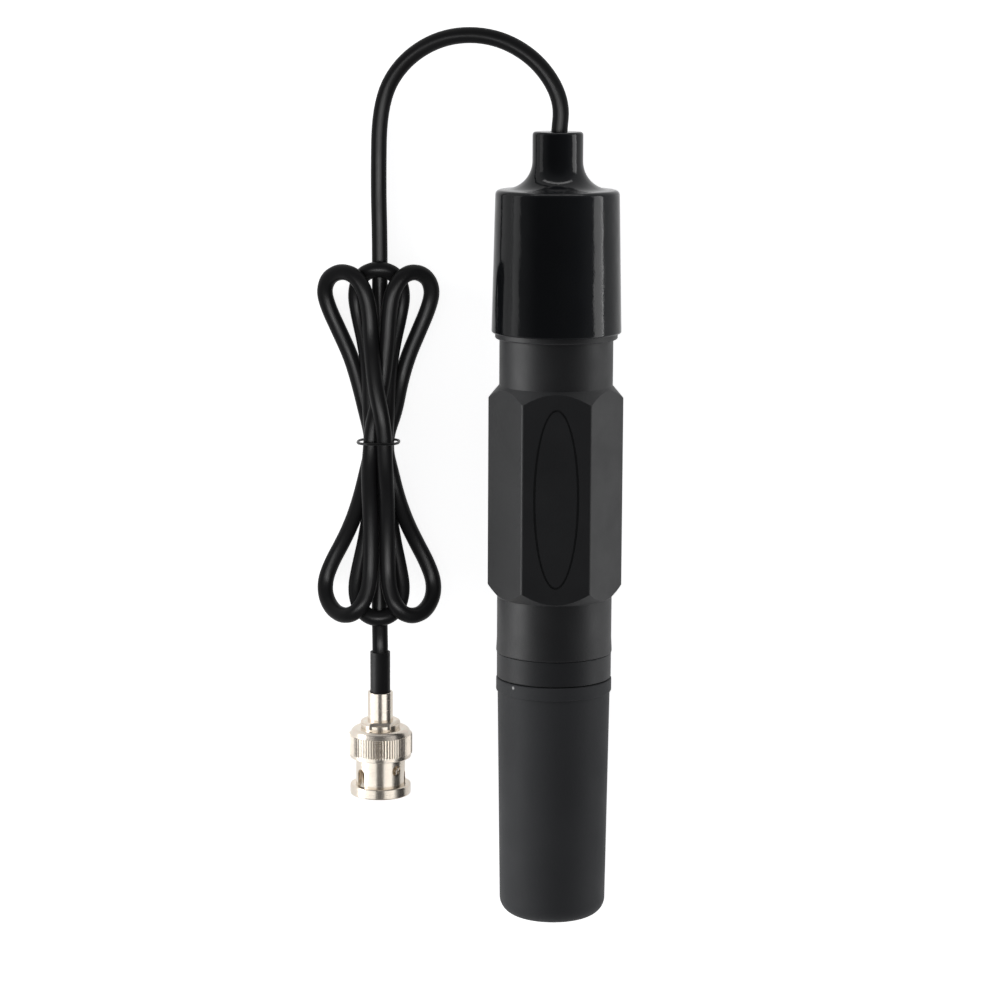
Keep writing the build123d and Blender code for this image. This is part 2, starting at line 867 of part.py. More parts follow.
# Curved spring washer between the nut's rear wall and the snap ring
washer_start = nut_chamber_start + washer_gap
washer_bend_radius = (washer_radius**2 + washer_rise**2) / (2 * washer_rise)

with BuildPart() as plug_spring_washer:
    with BuildSketch(plug_section):
        with Locations((0, washer_start + washer_bend_radius)):
            Circle(washer_bend_radius)
        with Locations((0, washer_start + washer_bend_radius + washer_thickness)):
            Circle(washer_bend_radius, mode=Mode.SUBTRACT)
    extrude(amount=washer_radius, both=True)
    with BuildSketch(plug_across(washer_start)):
        Circle(washer_radius)
        Circle(barrel_radius + running_gap, mode=Mode.SUBTRACT)
    extrude(amount=2 * washer_rise + washer_thickness, mode=Mode.INTERSECT)

# Shrink sleeve from the plug along the cable
with BuildPart() as shrink_sleeve:
    with BuildSketch(plug_across(-shrink_length)):
        Circle(cable_hole_radius + shrink_wall)
        Circle(cable_hole_radius, mode=Mode.SUBTRACT)
    extrude(amount=shrink_length + shrink_insert)

# Tie: a band round the bundle, whose section is a rounded hexagon
tie_center_z = tie_wire + strand_pitch + cable_radius
waist_half = strand_pitch * cos(radians(30)) + cable_radius
tie_plane = Plane(origin=(hank_x, tie_y, tie_center_z), x_dir=(1, 0, 0), z_dir=(0, -1, 0))

with BuildSketch(tie_plane) as bundle_section:
    RegularPolygon(radius=waist_half, side_count=6, major_radius=False, rotation=30)
    fillet(vertices(), cable_radius)

with BuildPart() as hank_tie:
    with BuildSketch(tie_plane):
        offset(bundle_section.sketch_local, amount=tie_wire)
        add(bundle_section.sketch_local, mode=Mode.SUBTRACT)
    extrude(amount=tie_width / 2, both=True)

# Hank: outer shape of the loops, narrowed to the bundle where the tie lies
hank_plane = Plane(origin=(hank_x, tie_y, 0))

with BuildPart() as cable_hank:
    with BuildSketch(hank_plane):
        outline(
            (upper_half_width, upper_reach),
            (upper_half_width, upper_bend_place),
            (waist_half, upper_waist_place),
            (waist_half, -lower_waist_place),
            (lower_half_width, -lower_bend_place),
            (lower_half_width, -lower_reach),
            (-lower_half_width, -lower_reach),
            (-lower_half_width, -lower_bend_place),
            (-waist_half, -lower_waist_place),
            (-waist_half, upper_waist_place),
            (-upper_half_width, upper_bend_place),
            (-upper_half_width, upper_reach),
        )
        for side in (-1, 1):
            fillet(corner(side * upper_half_width, upper_reach), loop_end_round)
            fillet(corner(side * upper_half_width, upper_bend_place), loop_side_round)
            fillet(corner(side * waist_half, upper_waist_place), waist_round)
            fillet(corner(side * waist_half, -lower_waist_place), waist_round)
            fillet(corner(side * lower_half_width, -lower_bend_place), loop_side_round)
            fillet(corner(side * lower_half_width, -lower_reach), loop_end_round)
    extrude(amount=hank_height)
    fillet(faces().sort_by(Axis.Z)[-1].edges(), hank_edge_round)
    with BuildSketch(tie_plane):
        Rectangle(4 * upper_half_width, 4 * hank_height)
        add(bundle_section.sketch_local, mode=Mode.SUBTRACT)
    extrude(amount=tie_width / 2, both=True, mode=Mode.SUBTRACT)


def bend_radii(route):
    """Largest radius that the two runs at each inner point of a route allow."""
    radii = []
    for before, here, after in zip(route, route[1:], route[2:]):
        run_in = Vector(*here) - Vector(*before)
        run_out = Vector(*after) - Vector(*here)
        half_turn = radians(run_in.get_angle(run_out)) / 2
        radii.append(bend_share * min(run_in.length, run_out.length) / tan(half_turn))
    return radii


def report_run(name, route, path):
    """Print the bend radii of a cable run and its length."""
    print(name, "radii", [round(radius, 1) for radius in bend_radii(route)])
    print(name, "length", round(sum(edge.length for edge in path.edges()), 1))


# Cable from the boot, round its arch and down to the table, to the top of the hank
upper_route = [
    tuple(neck_tip + toward_cap * tail_start_station),
    tuple(neck_tip - toward_cap * exit_run),
    (-5.2, 103.8, 14.3),
    (-14.4, 109.2, 11.6),
    (-25.1, 109.3, 7.8),
    (-34.4, 103.8, 4.3),
    (-39.6, 94.6, 2.2),
    (-39.9, 76.4, 1.8),
    (hank_x, hank_top_y - run_overlap, cable_radius),
]
hank_top_face = Plane(origin=(hank_x, hank_top_y, 0), x_dir=(1, 0, 0), z_dir=(0, 1, 0))

with BuildPart() as cable_upper_run:
    with BuildLine() as upper_path:
        FilletPolyline(*upper_route, radius=bend_radii(upper_route))
    with BuildSketch(across(tail_start_station)):
        Circle(cable_radius)
    sweep(path=upper_path.line)
    split(bisect_by=hank_top_face, keep=Keep.TOP)
report_run("upper run", upper_route, upper_path.line)

# Cable from the end of the hank into the plug
lower_route = [
    (hank_x, hank_end_y + tail_start_depth, tail_start_height),
    tuple(plug_start - toward_mouth * (shrink_length + sleeve_run)),
    tuple(plug_start + toward_mouth * jacket_insert),
]
hank_end_face = Plane(origin=(hank_x, hank_end_y, 0), x_dir=(1, 0, 0), z_dir=(0, -1, 0))

with BuildPart() as cable_lower_run:
    with BuildLine() as lower_path:
        FilletPolyline(*lower_route, radius=bend_radii(lower_route))
    with BuildSketch(Plane(origin=lower_path.line @ 0, z_dir=lower_path.line % 0)):
        Circle(cable_radius)
    sweep(path=lower_path.line)
    split(bisect_by=hank_end_face, keep=Keep.TOP)
report_run("lower run", lower_route, lower_path.line)

pieces = {
    "cable_boot": cable_boot,
    "handle_body": handle_body,
    "collar_ring": collar_ring,
    "storage_cap": storage_cap,
    "storage_sponge": storage_sponge,
    "cap_seal_ring": cap_seal_ring,
    "tube_seal_ring": tube_seal_ring,
    "body_tube": body_tube,
    "tube_stopper": tube_stopper,
    "junction_ring": junction_ring,
    "glass_stem": glass_stem,
    "platinum_tip": platinum_tip,
    "sensor_guard": sensor_guard,
    "cable_tail": cable_tail,
    "cable_clamp": cable_clamp,
    "potting_plug": potting_plug,
    "core_lead": core_lead,
    "core_joint_sleeve": core_joint_sleeve,
    "measuring_lead": measuring_lead,
    "braid_pigtail": braid_pigtail,
    "pigtail_joint_sleeve": pigtail_joint_sleeve,
    "reference_wire": reference_wire,
    "plug_ferrule": plug_ferrule,
    "plug_body": plug_body,
    "plug_outer_contact": plug_outer_contact,
    "plug_insulator": plug_insulator,
    "plug_center_pin": plug_center_pin,
    "plug_cable_core": plug_cable_core,
    "plug_snap_ring": plug_snap_ring,
    "plug_gasket": plug_gasket,
    "plug_coupling_nut": plug_coupling_nut,
    "plug_spring_washer": plug_spring_washer,
    "shrink_sleeve": shrink_sleeve,
    "cable_upper_run": cable_upper_run,
    "cable_hank": cable_hank,
    "cable_lower_run": cable_lower_run,
    "hank_tie": hank_tie,
}
for name, piece in pieces.items():
    piece.part.label = name
    export_step(piece.part, f"parts/{name}.step")
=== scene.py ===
from math import cos, pi, radians, sin

import bmesh
import bpy
from mathutils import Matrix, Vector


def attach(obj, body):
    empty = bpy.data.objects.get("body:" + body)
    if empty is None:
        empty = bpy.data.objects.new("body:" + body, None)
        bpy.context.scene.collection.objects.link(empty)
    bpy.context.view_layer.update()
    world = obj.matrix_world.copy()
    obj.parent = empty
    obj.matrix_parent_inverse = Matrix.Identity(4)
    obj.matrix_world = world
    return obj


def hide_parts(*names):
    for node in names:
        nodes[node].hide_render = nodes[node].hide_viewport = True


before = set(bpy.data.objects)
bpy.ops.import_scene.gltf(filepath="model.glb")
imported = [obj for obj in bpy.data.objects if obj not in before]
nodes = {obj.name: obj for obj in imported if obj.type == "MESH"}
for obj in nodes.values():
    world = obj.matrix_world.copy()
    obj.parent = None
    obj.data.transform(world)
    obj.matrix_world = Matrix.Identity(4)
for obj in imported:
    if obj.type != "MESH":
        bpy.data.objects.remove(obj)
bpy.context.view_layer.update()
MM = 0.001

# Camera: straight above the table, leaning a little towards the cable end
LEAN = radians(8.6)
ROLL = radians(0.28)
VIEW_ANGLE = radians(18.757)
CAMERA_DISTANCE = 0.677
CAMERA_TARGET = (-12.2, 6.6, 14.0)
back = Vector((0, sin(LEAN), cos(LEAN)))
side = Vector((1, 0, 0))
rise = back.cross(side)
right = side * cos(ROLL) + rise * sin(ROLL)
up = rise * cos(ROLL) - side * sin(ROLL)
camera = bpy.data.objects.new("camera", bpy.data.cameras.new("camera"))
bpy.context.scene.collection.objects.link(camera)
camera.data.sensor_width = 36.0
camera.data.angle = VIEW_ANGLE
camera.data.clip_start = 0.01
camera.data.clip_end = 20.0
place = Vector(CAMERA_TARGET) * MM + back * CAMERA_DISTANCE
camera.matrix_world = Matrix(
    (
        (right.x, up.x, back.x, place.x),
        (right.y, up.y, back.y, place.y),
        (right.z, up.z, back.z, place.z),
        (0, 0, 0, 1),
    )
)
bpy.context.scene.camera = camera


def noise(tree, scale, detail, rough=0.5, stretch=(1, 1, 1)):
    """Noise over the surface, with features of about 1 / scale metres."""
    coordinates = tree.nodes.new("ShaderNodeTexCoord")
    mapping = tree.nodes.new("ShaderNodeMapping")
    mapping.inputs["Scale"].default_value = stretch
    texture = tree.nodes.new("ShaderNodeTexNoise")
    texture.inputs["Scale"].default_value = scale
    texture.inputs["Detail"].default_value = detail
    texture.inputs["Roughness"].default_value = rough
    tree.links.new(coordinates.outputs["Object"], mapping.inputs["Vector"])
    tree.links.new(mapping.outputs["Vector"], texture.inputs["Vector"])
    return texture.outputs["Fac"]


def spread(tree, value, low, high, start=0.3, end=0.7):
    """The value taken from start..end to low..high."""
    node = tree.nodes.new("ShaderNodeMapRange")
    node.inputs["From Min"].default_value = start
    node.inputs["From Max"].default_value = end
    node.inputs["To Min"].default_value = low
    node.inputs["To Max"].default_value = high
    tree.links.new(value, node.inputs["Value"])
    return node.outputs["Result"]


def blend_colors(tree, value, first, second):
    """Mix of two colours by a value."""
    node = tree.nodes.new("ShaderNodeMix")
    node.data_type = "RGBA"
    node.inputs["A"].default_value = (*first, 1)
    node.inputs["B"].default_value = (*second, 1)
    tree.links.new(value, node.inputs["Factor"])
    return node.outputs["Result"]


def bump(tree, height, distance, before=None):
    """Bump from a height, in metres."""
    node = tree.nodes.new("ShaderNodeBump")
    node.inputs["Distance"].default_value = distance
    tree.links.new(height, node.inputs["Height"])
    if before is not None:
        tree.links.new(before, node.inputs["Normal"])
    return node.outputs["Normal"]


def new_shader(name):
    """New material with its node tree and its Principled shader."""
    made = bpy.data.materials.new(name)
    made.use_nodes = True
    tree = made.node_tree
    return made, tree, tree.nodes["Principled BSDF"]


def material(name, first, second, rough, mottle, grain, depth, waves=None, **sockets):
    """Material mottled between two colours, with uneven roughness and a fine grain.

    mottle and grain: noise scales of the patches and of the grain.
    depth: height of the grain in metres. waves: scale and height of a soft waviness.
    """
    made, tree, shader = new_shader(name)
    patches = spread(tree, noise(tree, mottle, 4.0), 0.0, 1.0)
    tree.links.new(blend_colors(tree, patches, first, second), shader.inputs["Base Color"])
    tree.links.new(spread(tree, noise(tree, mottle * 3, 5.0), *rough), shader.inputs["Roughness"])
    normal = bump(tree, noise(tree, grain, 2.0), depth)
    if waves is not None:
        normal = bump(tree, noise(tree, waves[0], 1.0), waves[1], normal)
    tree.links.new(normal, shader.inputs["Normal"])
    for socket, value in sockets.items():
        shader.inputs[socket.replace("_", " ")].default_value = value
    return made


PATCH_SCALE = 90
RING_SCALE = 60
RING_STRETCH = (1, 60, 1)


def turned_metal(name, first, second, rough, depth=0.000004):
    """Metal with faint turning marks round the Y axis, depth in metres."""
    made, tree, shader = new_shader(name)
    shader.inputs["Metallic"].default_value = 1.0
    patches = spread(tree, noise(tree, PATCH_SCALE, 5.0, 0.6), 0.0, 1.0)
    tree.links.new(blend_colors(tree, patches, first, second), shader.inputs["Base Color"])
    rings = noise(tree, RING_SCALE, 3.0, 0.6, RING_STRETCH)
    tree.links.new(spread(tree, rings, *rough), shader.inputs["Roughness"])
    tree.links.new(bump(tree, rings, depth), shader.inputs["Normal"])
    return made


# Materials: two colours, roughness from and to, then scales and heights
paint = {
    "boot": material(
        "boot_rubber", (0.0055, 0.0061, 0.007), (0.0082, 0.009, 0.0102), (0.08, 0.14),
        mottle=40, grain=2500, depth=0.000012, waves=(220, 0.00008), Specular_IOR_Level=0.17,
    ),
    "grip": material(
        "grip_plastic", (0.0115, 0.0119, 0.0128), (0.0155, 0.016, 0.0172), (0.44, 0.54),
        mottle=45, grain=5200, depth=0.00002, Specular_IOR_Level=0.5,
    ),
    "collar": material(
        "collar_plastic", (0.021, 0.0217, 0.0232), (0.027, 0.0279, 0.0298), (0.42, 0.52),
        mottle=45, grain=5200, depth=0.00002, Specular_IOR_Level=0.3,
    ),
    "cap": material(
        "cap_plastic", (0.046, 0.0472, 0.0494), (0.056, 0.0573, 0.0598), (0.5, 0.6),
        mottle=35, grain=5200, depth=0.00002, Specular_IOR_Level=0.1,
    ),
    "sponge": material(
        "sponge_foam", (0.62, 0.55, 0.38), (0.75, 0.7, 0.55), (0.9, 1.0),
        mottle=300, grain=1600, depth=0.0004,
    ),
    "seal": material(
        "seal_rubber", (0.012, 0.012, 0.012), (0.02, 0.02, 0.02), (0.5, 0.6),
        mottle=100, grain=4000, depth=0.00001,
    ),
    "tube": material(
        "tube_plastic", (0.03, 0.03, 0.033), (0.038, 0.038, 0.041), (0.25, 0.32),
        mottle=60, grain=3000, depth=0.000005,
    ),
    "guard": material(
        "guard_plastic", (0.02, 0.02, 0.021), (0.027, 0.027, 0.028), (0.4, 0.5),
        mottle=60, grain=5000, depth=0.00002,
    ),
    "junction": material(
        "porous_ceramic", (0.72, 0.7, 0.64), (0.84, 0.82, 0.77), (0.75, 0.9),
        mottle=500, grain=6000, depth=0.00003,
    ),
    "glass": material(
        "stem_glass", (0.92, 0.97, 0.96), (0.96, 0.99, 0.98), (0.02, 0.06),
        mottle=60, grain=800, depth=0.000002, Transmission_Weight=1.0, IOR=1.5,
    ),
    "platinum": turned_metal("tip_metal", (0.72, 0.71, 0.69), (0.8, 0.79, 0.77), (0.12, 0.25)),
    "wire": turned_metal("wire_metal", (0.6, 0.59, 0.57), (0.72, 0.71, 0.69), (0.3, 0.45)),
    "copper": turned_metal("copper", (0.62, 0.36, 0.24), (0.72, 0.46, 0.32), (0.3, 0.45)),
    "potting": material(
        "potting_resin", (0.01, 0.01, 0.01), (0.02, 0.02, 0.02), (0.12, 0.2),
        mottle=80, grain=1200, depth=0.00001,
    ),
    "clamp": turned_metal("clamp_metal", (0.5, 0.5, 0.5), (0.6, 0.6, 0.6), (0.3, 0.4)),
    "jacket": material(
        "cable_jacket", (0.0022, 0.0022, 0.0023), (0.0035, 0.0035, 0.0037), (0.3, 0.38),
        mottle=50, grain=3500, depth=0.000006, Specular_IOR_Level=0.08,
    ),
    "core": material(
        "core_insulation", (0.72, 0.72, 0.68), (0.8, 0.8, 0.77), (0.35, 0.45),
        mottle=90, grain=3000, depth=0.000005,
    ),
    "tie": material(
        "tie_plastic", (0.008, 0.008, 0.008), (0.013, 0.013, 0.013), (0.35, 0.45),
        mottle=150, grain=3000, depth=0.000005, Specular_IOR_Level=0.3,
    ),
    "shrink": material(
        "shrink_plastic", (0.013, 0.013, 0.0135), (0.018, 0.018, 0.019), (0.42, 0.52),
        mottle=120, grain=2500, depth=0.00002, Specular_IOR_Level=0.3,
    ),
    "nickel": turned_metal(
        "nickel", (0.7, 0.63, 0.54), (0.86, 0.785, 0.685), (0.2, 0.28),
        depth=0.000001,
    ),
    "insulator": material(
        "insulator_plastic", (0.8, 0.8, 0.77), (0.87, 0.87, 0.85), (0.35, 0.45),
        mottle=90, grain=3000, depth=0.000005,
    ),
    "pin": turned_metal("pin_metal", (0.85, 0.62, 0.26), (0.95, 0.74, 0.38), (0.16, 0.28)),
}

# Painted highlight: a small pale glint spot painted into the cap's colour near its rim, in
# millimetres
PAINTED_GLINT = Vector((-9.2, -34.4, 22.25))
PAINTED_GLINT_CORE = 0.18
PAINTED_GLINT_EDGE = 0.45
PAINTED_GLINT_COLOR = (0.5, 0.5, 0.5)
tree = paint["cap"].node_tree
base_color = tree.nodes["Principled BSDF"].inputs["Base Color"]
plain = base_color.links[0].from_socket
coordinates = tree.nodes.new("ShaderNodeTexCoord")
reach = tree.nodes.new("ShaderNodeVectorMath")
reach.operation = "DISTANCE"
reach.inputs[1].default_value = PAINTED_GLINT * MM
tree.links.new(coordinates.outputs["Object"], reach.inputs[0])
# Painted highlight: pale spot mixed into the cap's base colour, full at its core and gone at its
# edge
glint_share = spread(tree, reach.outputs["Value"], 1.0, 0.0, PAINTED_GLINT_CORE * MM, PAINTED_GLINT_EDGE * MM)
with_glint = blend_colors(tree, glint_share, (0, 0, 0), PAINTED_GLINT_COLOR)
tree.links.new(plain, with_glint.node.inputs["A"])
tree.links.new(with_glint, base_color)

# Slot of each material, and the CAD pieces that wear it
slots = {
    "boot": ("boot_rubber", ["cable_boot"]),
    "grip": ("grip_plastic", ["handle_body"]),
    "collar": ("collar_plastic", ["collar_ring"]),
    "cap": ("cap_plastic", ["storage_cap"]),
    "sponge": ("sponge_foam", ["storage_sponge"]),
    "seal": ("seal_rubber", ["cap_seal_ring", "tube_seal_ring", "tube_stopper", "plug_gasket"]),
    "tube": ("tube_plastic", ["body_tube"]),
    "guard": ("guard_plastic", ["sensor_guard"]),
    "junction": ("porous_ceramic", ["junction_ring"]),
    "glass": ("stem_glass", ["glass_stem"]),
    "platinum": ("tip_metal", ["platinum_tip"]),
    "wire": ("wire_metal", ["reference_wire"]),
    "copper": ("copper", [
        "measuring_lead", "braid_pigtail", "core_joint_sleeve", "pigtail_joint_sleeve",
    ]),
    "potting": ("potting_resin", ["potting_plug"]),
    "clamp": ("clamp_metal", ["cable_clamp"]),
    "jacket": ("cable_jacket", ["cable_tail"]),
    "core": ("core_insulation", ["core_lead", "plug_cable_core"]),
    "shrink": ("shrink_plastic", ["shrink_sleeve"]),
    "nickel": ("nickel", [
        "plug_ferrule", "plug_body", "plug_coupling_nut", "plug_outer_contact", "plug_snap_ring",
        "plug_spring_washer",
    ]),
    "insulator": ("insulator_plastic", ["plug_insulator"]),
    "pin": ("pin_metal", ["plug_center_pin"]),
}


def dress(piece, key):
    """Give a piece one material."""
    piece.data.materials.clear()
    piece.data.materials.append(paint[key])


for key, (slot, names) in slots.items():
    for name in names:
        dress(nodes[name], key)

# Cable: one line from the boot round the arch, through the tied hank, to the plug
CABLE_RADIUS = 1.8
HANK_X = -39.7
exit_line = [
    (0.0, 80.563, 15.018), (0.1, 87.0, 15.15), (0.95, 95.6, 15.2),
    (-4.7, 104.3, 14.3), (-14.1, 109.4, 11.6),
    (-25.1, 109.3, 7.8), (-34.4, 103.8, 4.3), (-39.6, 94.6, 2.2), (-39.9, 76.4, 1.8),
]
# Sideways from the hank's middle, along it, and above the table
hank_line = [
    # down the middle, under the loops, to the lower middle loop
    (0.1, 64.0, 1.8), (0.1, 52.0, 1.8), (0.1, 42.0, 1.8), (0.0, 33.0, 1.85),
    (0.3, 26.5, 1.9), (1.4, 20.8, 2.35), (1.62, 17.0, 2.4), (1.75, 11.0, 1.95), (1.95, 4.0, 1.9),
    (3.1, -4.0, 2.4), (4.6, -10.5, 3.9), (5.4, -15.0, 5.2),
    (4.7, -18.6, 6.8), (2.8, -20.7, 8.6), (0.0, -21.4, 9.9), (-2.8, -20.7, 8.6), (-4.7, -18.6, 6.8),
    (-5.4, -15.0, 5.2), (-4.6, -10.5, 3.9), (-3.1, -4.0, 2.4),
    # up through the tie to the upper left loop
    (-1.95, 4.0, 1.9), (-1.8, 11.0, 2.2), (-1.52, 17.0, 4.15), (-1.75, 20.5, 4.15),
    (-3.1, 25.5, 2.8), (-4.6, 31.5, 2.0), (-6.4, 37.5, 1.9), (-9.2, 43.6, 1.8), (-11.5, 48.6, 1.8),
    (-12.5, 52.4, 2.2), (-11.3, 55.6, 3.4), (-8.4, 57.1, 5.4), (-5.2, 56.3, 7.6),
    (-2.9, 52.9, 8.6), (-1.9, 48.0, 8.7),
    # down on top of the bundle to the lower right loop
    (-1.65, 42.0, 9.1), (-1.1, 37.0, 10.9), (-0.4, 31.5, 12.4),
    (0.9, 25.5, 13.3), (1.52, 20.5, 13.1),
    (1.55, 17.0, 12.9), (1.75, 12.0, 12.2), (2.0, 6.0, 9.7), (2.0, -1.0, 8.3), (2.05, -9.5, 8.6),
    (2.5, -14.8, 9.9), (4.3, -18.8, 11.3), (7.2, -20.7, 10.0),
    (10.2, -20.3, 7.0), (12.2, -17.6, 3.8),
    (12.4, -13.9, 2.1), (10.8, -9.6, 1.8), (8.4, -5.0, 2.0), (6.1, 0.0, 3.3), (4.1, 6.0, 5.1),
    # up to the upper right loop
    (2.7, 11.8, 5.3), (1.55, 16.5, 5.8), (1.8, 20.5, 5.9), (3.6, 25.5, 4.2), (4.7, 31.5, 2.1),
    (6.4, 37.5, 1.9), (9.0, 43.6, 1.8), (11.1, 48.6, 1.8),
    (12.0, 52.4, 2.2), (10.9, 55.6, 3.4), (8.2, 57.1, 5.4), (5.4, 56.3, 7.6),
    (3.2, 52.9, 8.6), (2.4, 48.0, 8.6),
    # down under that strand to the lower left loop
    (2.0, 41.0, 8.5), (1.2, 34.0, 8.3), (0.2, 28.5, 9.3), (-1.2, 23.0, 10.8), (-1.6, 17.5, 11.2),
    (-2.1, 12.0, 10.3), (-2.0, 6.0, 8.8), (-1.75, -1.0, 8.2), (-1.7, -9.5, 8.6),
    (-2.2, -14.8, 9.9), (-4.1, -18.8, 11.3), (-7.0, -20.7, 10.0),
    (-10.0, -20.3, 7.0), (-12.2, -17.6, 3.8),
    (-12.5, -13.9, 2.1), (-10.9, -9.6, 1.8), (-8.4, -5.0, 2.0), (-6.1, 0.0, 3.3), (-4.1, 6.0, 5.2),
    # up to the upper middle loop
    (-2.7, 11.8, 6.4), (-1.52, 16.5, 7.65), (-1.6, 20.5, 7.6), (-1.9, 26.5, 6.1), (-2.1, 33.0, 5.0),
    (-3.0, 40.0, 3.5), (-4.7, 47.0, 1.9), (-5.4, 51.3, 1.9),
    (-4.7, 54.9, 2.9), (-2.7, 56.9, 4.6), (0.0, 57.6, 5.8), (2.7, 56.9, 4.6), (4.6, 54.9, 2.9),
    (5.3, 51.3, 1.9), (4.6, 47.0, 1.9), (3.0, 40.0, 3.5), (2.1, 33.0, 4.9),
    # down through the tie and out to the plug
    (1.9, 25.5, 7.1), (1.6, 20.5, 9.4), (1.52, 16.5, 9.3),
    (0.9, 11.5, 8.3), (0.2, 6.0, 6.1), (0.0, 0.0, 5.0),
    (0.0, -8.0, 4.9), (0.1, -15.0, 4.9), (0.1, -20.6, 5.4),
]
plug_line = [
    (-39.45, -24.2, 7.0), (-39.35, -27.6, 8.11), (-39.35, -30.5, 8.01), (-39.35, -39.4, 7.7),
]
route = exit_line + [(HANK_X + u, y, z) for u, y, z in hank_line] + plug_line

line = bpy.data.curves.new("cable", "CURVE")
line.dimensions = "3D"
line.bevel_depth = CABLE_RADIUS * MM
line.bevel_resolution = 5
line.resolution_u = 8
line.use_fill_caps = True
spline = line.splines.new("NURBS")
spline.points.add(len(route) - 1)
for point, (x, y, z) in zip(spline.points, route):
    point.co = (x * MM, y * MM, z * MM, 1)
spline.order_u = 3
spline.use_endpoint_u = True
cable = bpy.data.objects.new("cable", line)
bpy.context.scene.collection.objects.link(cable)
dress(cable, "jacket")
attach(cable, "electrode")
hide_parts("cable_upper_run", "cable_hank", "cable_lower_run")

# Tie: a round wire loop standing round the bundle, its top leaning a little to the boot
TIE_Y = 18.9
TIE_HALF_WIDTH = 4.6
TIE_HALF_HEIGHT = 7.5
TIE_WIRE = 0.3
TIE_SQUARENESS = 3.0
TIE_LEAN = 0.05
TIE_STEPS = 96
TIE_SIDES = 12


def signed_power(value, power):
    """Power of a value that keeps its sign."""
    return abs(value) ** power * (1 if value >= 0 else -1)


def loop_point(step):
    """Point of the tie's line in its own plane."""
    angle = 2 * pi * step / TIE_STEPS
    across = TIE_HALF_WIDTH * signed_power(cos(angle), 2 / TIE_SQUARENESS)
    above = TIE_HALF_HEIGHT * signed_power(sin(angle), 2 / TIE_SQUARENESS)
    return Vector((across, 0, above))


def tie_ring():
    """Closed wire ring as a mesh."""
    mesh = bmesh.new()
    rings = []
    for i in range(TIE_STEPS):
        here = loop_point(i)
        ahead = loop_point(i + 0.5) - loop_point(i - 0.5)
        outward = Vector((ahead.z, 0, -ahead.x)).normalized()
        middle = here + Vector((HANK_X, TIE_Y + here.z * TIE_LEAN, TIE_HALF_HEIGHT + TIE_WIRE))
        ring = []
        for j in range(TIE_SIDES):
            angle = 2 * pi * j / TIE_SIDES
            offset = (outward * cos(angle) + Vector((0, 1, 0)) * sin(angle)) * TIE_WIRE
            ring.append(mesh.verts.new((middle + offset) * MM))
        rings.append(ring)
    for i in range(TIE_STEPS):
        first, second = rings[i], rings[(i + 1) % TIE_STEPS]
        for j in range(TIE_SIDES):
            k = (j + 1) % TIE_SIDES
            mesh.faces.new((first[j], second[j], second[k], first[k])).smooth = True
    bmesh.ops.recalc_face_normals(mesh, faces=mesh.faces)
    data = bpy.data.meshes.new("tie_ring")
    mesh.to_mesh(data)
    mesh.free()
    piece = bpy.data.objects.new("tie_ring", data)
    bpy.context.scene.collection.objects.link(piece)
    return piece


tie = tie_ring()
dress(tie, "tie")
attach(tie, "electrode")
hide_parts("hank_tie")

plug_pieces = [nodes[n] for n in (
    "shrink_sleeve", "plug_ferrule", "plug_body", "plug_outer_contact", "plug_insulator",
    "plug_center_pin", "plug_cable_core", "plug_snap_ring", "plug_gasket", "plug_coupling_nut",
    "plug_spring_washer",
)]

# Floor: white to the camera and nearly so in reflections, with the object's own soft shadow
FLOOR_HALF = 3
FLOOR_DROP = 0.00002  # keeps the floor off the faces that rest on it
FLOOR_COLOR = (0.82, 0.82, 0.82, 1)
FLOOR_GLOW = 0.88
REFLECTED_GLOW = 0.7
floor_material = bpy.data.materials.new("floor_white")
floor_material.use_nodes = True
tree = floor_material.node_tree
tree.nodes.clear()
output = tree.nodes.new("ShaderNodeOutputMaterial")
diffuse = tree.nodes.new("ShaderNodeBsdfDiffuse")
diffuse.inputs["Color"].default_value = FLOOR_COLOR
glow = tree.nodes.new("ShaderNodeEmission")
glow.inputs["Strength"].default_value = FLOOR_GLOW
path = tree.nodes.new("ShaderNodeLightPath")
dimmed = tree.nodes.new("ShaderNodeMath")
dimmed.operation = "MULTIPLY"
dimmed.inputs[1].default_value = REFLECTED_GLOW
share = tree.nodes.new("ShaderNodeMath")
share.operation = "MAXIMUM"
both = tree.nodes.new("ShaderNodeAddShader")
choose = tree.nodes.new("ShaderNodeMixShader")
tree.links.new(path.outputs["Is Glossy Ray"], dimmed.inputs[0])
tree.links.new(path.outputs["Is Camera Ray"], share.inputs[0])
tree.links.new(dimmed.outputs[0], share.inputs[1])
tree.links.new(diffuse.outputs[0], both.inputs[0])
tree.links.new(glow.outputs[0], both.inputs[1])
tree.links.new(share.outputs[0], choose.inputs["Fac"])
tree.links.new(diffuse.outputs[0], choose.inputs[1])
tree.links.new(both.outputs[0], choose.inputs[2])
tree.links.new(choose.outputs[0], output.inputs["Surface"])
corners = [(x * FLOOR_HALF, y * FLOOR_HALF, 0) for x, y in ((-1, -1), (1, -1), (1, 1), (-1, 1))]
data = bpy.data.meshes.new("floor")
data.from_pydata(corners, [], [(0, 1, 2, 3)])
floor = bpy.data.objects.new("floor", data)
floor.location.z = -FLOOR_DROP
bpy.context.scene.collection.objects.link(floor)
floor.data.materials.append(floor_material)


def lamp(name, place, aim, size, power, lit):
    """Soft rectangular lamp for one group of pieces, which the camera doesn't see.

    Places and sizes are in metres, the power in watts.
    """
    data = bpy.data.lights.new(name, "AREA")
    data.shape = "RECTANGLE"
    data.size, data.size_y = size
    data.energy = power
    made = bpy.data.objects.new(name, data)
    bpy.context.scene.collection.objects.link(made)
    made.location = place
    made.rotation_euler = (Vector(aim) - Vector(place)).to_track_quat("-Z", "Y").to_euler()
    made.visible_camera = False
    made.light_linking.receiver_collection = lit


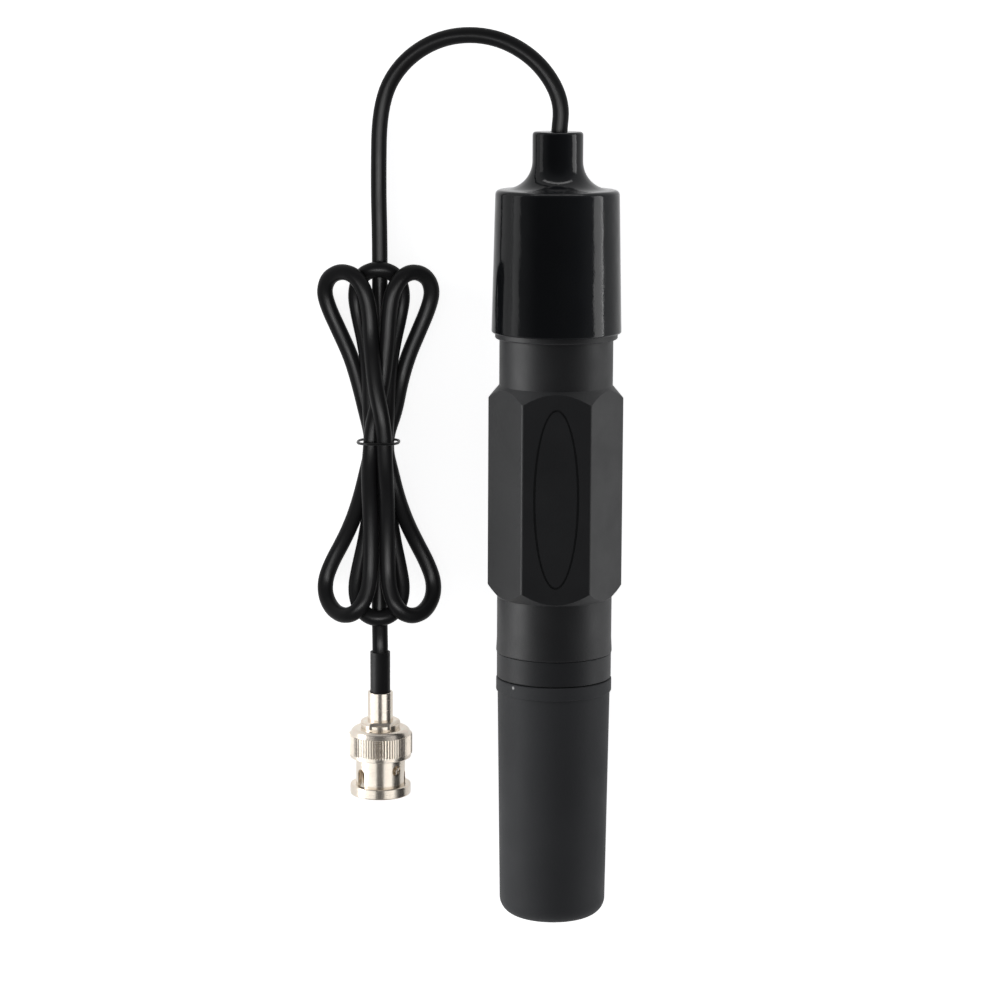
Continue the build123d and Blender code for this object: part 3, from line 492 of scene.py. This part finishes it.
def group(name, pieces, state):
    """Pieces that a lamp lights alone (INCLUDE) or leaves out (EXCLUDE)."""
    made = bpy.data.collections.new(name)
    for piece in pieces:
        made.objects.link(piece)
    for entry in made.collection_objects:
        entry.light_linking.link_state = state
    return made


boot = nodes["cable_boot"]
all_but_boot = group("all_but_boot", [boot, cable], "EXCLUDE")  # nor the cable
boot_alone = group("boot_alone", [boot], "INCLUDE")
cable_alone = group("cable_alone", [cable], "INCLUDE")
plug_alone = group("plug_alone", plug_pieces[1:], "INCLUDE")  # without the sleeve
middle_of_grip = (0, 0.02, 0.02)
middle_of_hank = (-0.04, 0.03, 0.005)
middle_of_plug = (-0.04, -0.05, 0.008)
lamp("left_lamp", (-0.7, 0.02, 0.18), middle_of_grip, (0.9, 0.3), 3.5, all_but_boot)
lamp("right_lamp", (0.7, 0.02, 0.07), middle_of_grip, (0.9, 0.09), 1.0, all_but_boot)
lamp("boot_left_lamp", (-0.7, 0.02, 0.14), middle_of_grip, (0.9, 0.2), 0.8, boot_alone)
lamp("boot_right_lamp", (0.7, 0.02, 0.16), middle_of_grip, (0.9, 0.25), 3.2, boot_alone)
lamp("boot_edge_lamp", (0.7, 0.02, 0.03), middle_of_grip, (0.9, 0.03), 0.9, boot_alone)
lamp("boot_far_lamp", (0.0, 0.75, 0.07), middle_of_grip, (0.8, 0.08), 1.4, boot_alone)
lamp("cable_left_lamp", (-0.16, 0.03, 0.5), middle_of_hank, (0.15, 0.5), 3.4, cable_alone)
lamp("cable_right_lamp", (0.08, 0.03, 0.5), middle_of_hank, (0.15, 0.5), 3.4, cable_alone)
lamp("plug_left_lamp", (-0.36, -0.05, 0.42), middle_of_plug, (0.5, 0.4), 0.8, plug_alone)
lamp("plug_right_lamp", (0.28, -0.05, 0.42), middle_of_plug, (0.5, 0.4), 0.8, plug_alone)

# World: white to the camera, and for light brightest at the horizon (height 0)
HORIZON_COLOR = (0.95, 0.96, 0.98, 1)
MIDDLE_HEIGHT = 0.35
MIDDLE_COLOR = (0.42, 0.425, 0.44, 1)
TOP_HEIGHT = 0.85
TOP_COLOR = (0.12, 0.12, 0.125, 1)
world = bpy.data.worlds.new("studio")
bpy.context.scene.world = world
world.use_nodes = True
tree = world.node_tree
direction = tree.nodes.new("ShaderNodeTexCoord")
split = tree.nodes.new("ShaderNodeSeparateXYZ")
height = tree.nodes.new("ShaderNodeValToRGB")
ramp = height.color_ramp
ramp.interpolation = "EASE"
ramp.elements[0].position = 0.0
ramp.elements[0].color = HORIZON_COLOR
ramp.elements[1].position = TOP_HEIGHT
ramp.elements[1].color = TOP_COLOR
ramp.elements.new(MIDDLE_HEIGHT).color = MIDDLE_COLOR
path = tree.nodes.new("ShaderNodeLightPath")
shown = blend_colors(tree, path.outputs["Is Camera Ray"], (0, 0, 0), (1, 1, 1))
tree.links.new(direction.outputs["Generated"], split.inputs[0])
tree.links.new(split.outputs["Z"], height.inputs["Fac"])
tree.links.new(height.outputs["Color"], shown.node.inputs["A"])
tree.links.new(shown, tree.nodes["Background"].inputs["Color"])
tree.nodes["Background"].inputs["Strength"].default_value = 1.0

bpy.context.scene.view_settings.view_transform = "Standard"
